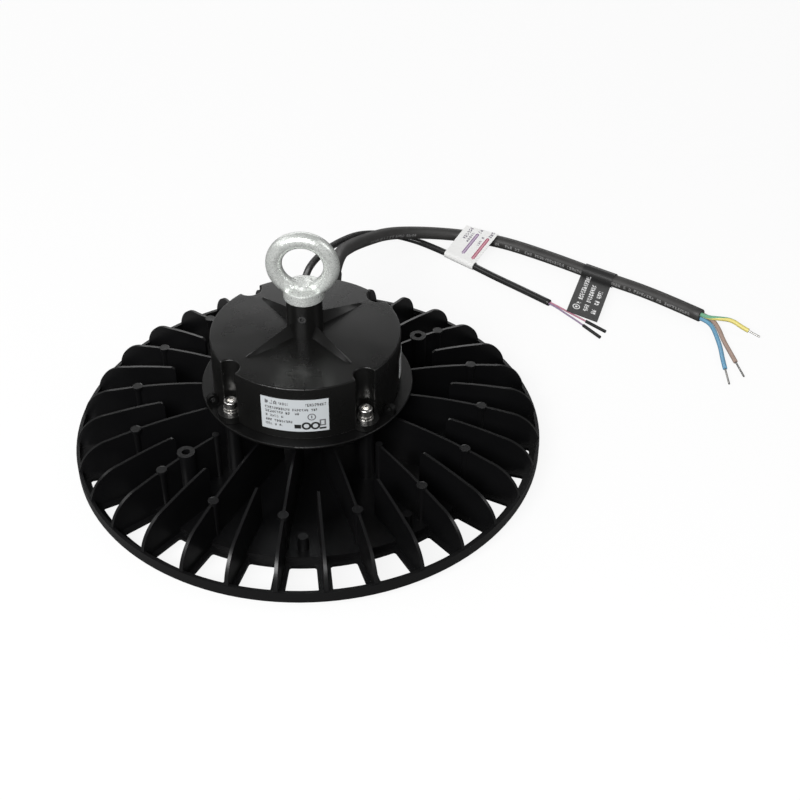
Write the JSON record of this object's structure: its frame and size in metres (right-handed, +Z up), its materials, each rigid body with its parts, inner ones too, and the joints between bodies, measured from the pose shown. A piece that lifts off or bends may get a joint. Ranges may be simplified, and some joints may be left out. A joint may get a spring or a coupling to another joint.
{
  "type": "round_high_bay_light",
  "caption": "Round industrial high bay light with a finned black heat sink, a round driver housing on top, a lifting eye, and a mains and a dimming lead at the back.",
  "frame": {"origin": "on the vertical axis, in the lens ring's underside that the light rests on", "axes": "+Z up towards the lifting eye, +Y to the back where the leads leave, +X to the right"},
  "size_m": [0.4595, 0.4086, 0.1607],
  "materials": {
    "black_powder": "satin",
    "housing_powder": "satin",
    "stainless": "satin",
    "galvanised": "satin",
    "board_green": "satin",
    "board_white": "satin",
    "chip_yellow": "satin",
    "black_plastic": "matte",
    "lens_clear": "gloss",
    "grey_rubber": "matte",
    "black_rubber": "matte",
    "label_film": "satin",
    "flag_white": "matte",
    "flag_black": "satin",
    "core_green": "gloss",
    "core_brown": "gloss",
    "core_blue": "gloss",
    "tinned": "satin",
    "wire_purple": "gloss",
    "wire_pink": "gloss",
    "copper_winding": "gloss",
    "capacitor_sleeve": "gloss"
  },
  "bodies": {
    "root": {"heat_sink": "black_powder", "driver_base_plate": "black_powder", "base_gasket": "grey_rubber", "driver_housing": "housing_powder", "housing_screws": "stainless", "flat_washers": "stainless", "spring_washers": "stainless", "eye_bolt": "galvanised", "grub_screw": "black_plastic", "driver_board": "board_green", "output_leads": "black_rubber", "driver_transformer": "black_plastic", "driver_capacitors": "capacitor_sleeve", "driver_choke": "copper_winding", "driver_rectifier": "black_plastic", "driver_terminals": "board_white", "led_board": "board_white", "thermal_pad": "grey_rubber", "led_chips": "chip_yellow", "board_screws": "stainless", "lens_plate": "lens_clear", "lens_gasket": "grey_rubber", "lens_ring": "black_powder", "lens_screws": "stainless", "mains_gland_body": "black_plastic", "mains_gland_nut": "black_plastic", "dim_gland_body": "black_plastic", "dim_gland_nut": "black_plastic", "gland_seals": "black_rubber", "mains_strain_relief": "black_rubber", "mains_cable": "black_rubber", "dim_cable": "black_rubber", "earth_core": "core_green", "brown_core": "core_brown", "blue_core": "core_blue", "core_ends": "tinned", "dim_wire_plus": "wire_pink", "dim_wire_minus": "wire_purple", "dim_end_caps": "black_plastic", "rating_label": "label_film", "side_label": "label_film", "wiring_flag": "flag_white", "caution_flag": "flag_black"}
  },
  "joints": []
}
